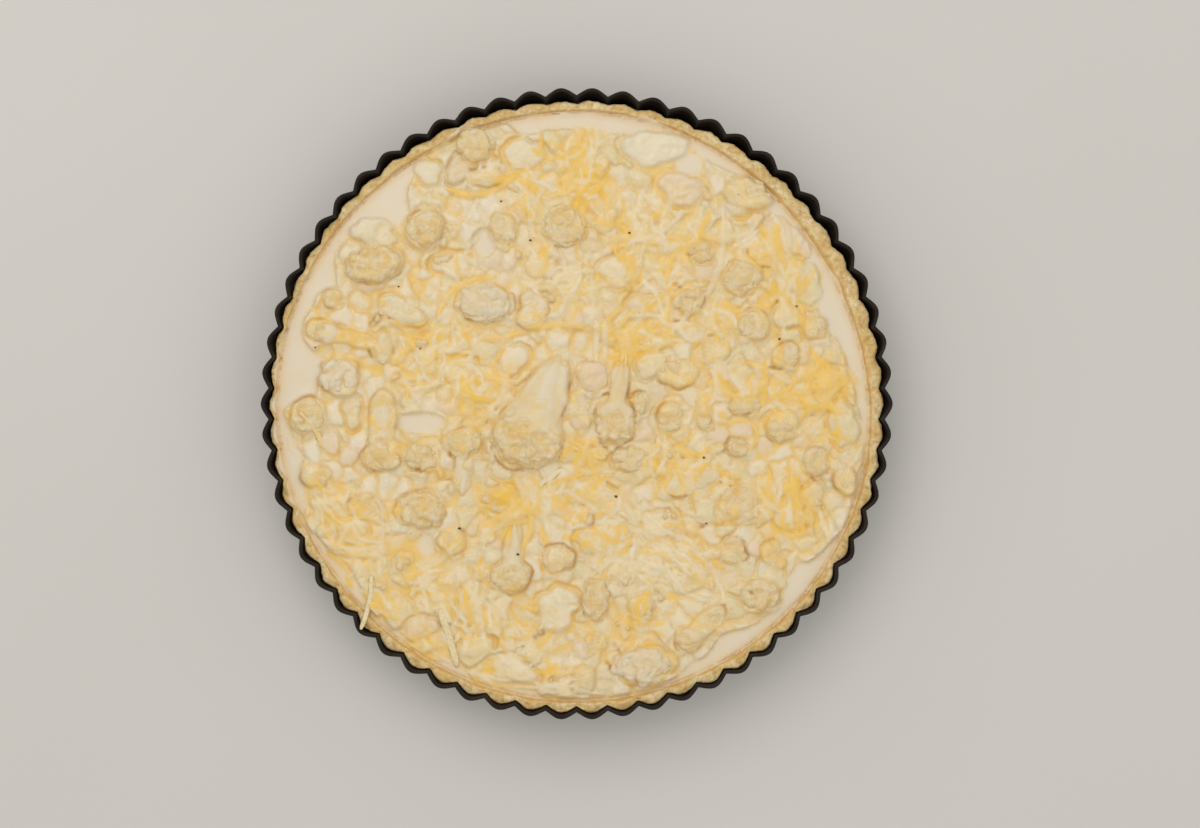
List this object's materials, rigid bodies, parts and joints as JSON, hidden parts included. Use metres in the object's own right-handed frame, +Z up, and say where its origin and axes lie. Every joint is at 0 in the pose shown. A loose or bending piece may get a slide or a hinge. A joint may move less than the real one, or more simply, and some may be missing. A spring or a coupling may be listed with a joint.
{
  "type": "cauliflower quiche",
  "caption": "Round open quiche of pale custard, cauliflower florets and grated cheese in a scalloped shortcrust shell, in its dark fluted tart tin.",
  "frame": {"origin": "centre of the tin's flat underside", "axes": "+Z up through the filling; +X right and +Y away when the large central floret's stalk points away from the viewer"},
  "size_m": [0.2578, 0.2574, 0.031],
  "materials": {
    "dark_tin": "glossy dark non-stick coating",
    "pastry": "pale dry shortcrust, crumbly and matt",
    "custard": "wet cream and egg custard, soft sheen",
    "cauliflower_curd": "granular curd under a thin film of custard",
    "cauliflower_stalk": "smooth moist stalk",
    "grated_cheese": "soft translucent shreds",
    "black_pepper": "cracked dark grains"
  },
  "bodies": {
    "root": {"tin": "dark_tin", "crust": "pastry", "filling": "custard", "floret_below_centre": "cauliflower_curd", "floret_bottom_large": "cauliflower_curd", "floret_bottom_small": "cauliflower_curd", "floret_centre": "cauliflower_curd", "floret_centre_small": "cauliflower_curd", "floret_crevice_side": "cauliflower_curd", "floret_left_button": "cauliflower_curd", "floret_left_hooked": "cauliflower_curd", "floret_left_long": "cauliflower_curd", "floret_left_pair": "cauliflower_curd", "floret_left_rim": "cauliflower_curd", "floret_left_round": "cauliflower_curd", "floret_low_beside": "cauliflower_curd", "floret_low_cluster": "cauliflower_curd", "floret_low_hook": "cauliflower_curd", "floret_low_left_flat": "cauliflower_curd", "floret_low_left_large": "cauliflower_curd", "floret_low_left_mid": "cauliflower_curd", "floret_low_left_rim": "cauliflower_curd", "floret_low_left_small": "cauliflower_curd", "floret_low_middle": "cauliflower_curd", "floret_low_middle_right": "cauliflower_curd", "floret_low_narrow": "cauliflower_curd", "floret_low_rosy": "cauliflower_curd", "floret_low_round": "cauliflower_curd", "floret_low_stemmed": "cauliflower_curd", "floret_mid_right": "cauliflower_curd", "floret_mushroom": "cauliflower_curd", "floret_right_bumpy": "cauliflower_curd", "floret_right_curl": "cauliflower_curd", "floret_right_edge": "cauliflower_curd", "floret_right_inner": "cauliflower_curd", "floret_right_knob": "cauliflower_curd", "floret_right_lobed": "cauliflower_curd", "floret_right_low": "cauliflower_curd", "floret_right_mid": "cauliflower_curd", "floret_right_outer": "cauliflower_curd", "floret_right_rim": "cauliflower_curd", "floret_right_small": "cauliflower_curd", "floret_right_split": "cauliflower_curd", "floret_rim_top_left": "cauliflower_curd", "floret_rosy": "cauliflower_curd", "floret_top_crevice": "cauliflower_curd", "floret_top_right": "cauliflower_curd", "floret_twin": "cauliflower_curd", "floret_upper_left": "cauliflower_curd", "floret_upper_left_inner": "cauliflower_curd", "floret_upper_split": "cauliflower_curd", "floret_wide_right": "cauliflower_curd", "slab_mid_right": "cauliflower_stalk", "slab_top_left": "cauliflower_stalk", "stalk_bone": "cauliflower_stalk", "stalk_bottom": "cauliflower_stalk", "stalk_left_upright": "cauliflower_stalk", "stalk_pink": "cauliflower_stalk", "stalk_pink_low": "cauliflower_stalk", "stalk_white": "cauliflower_stalk"}
  },
  "joints": []
}
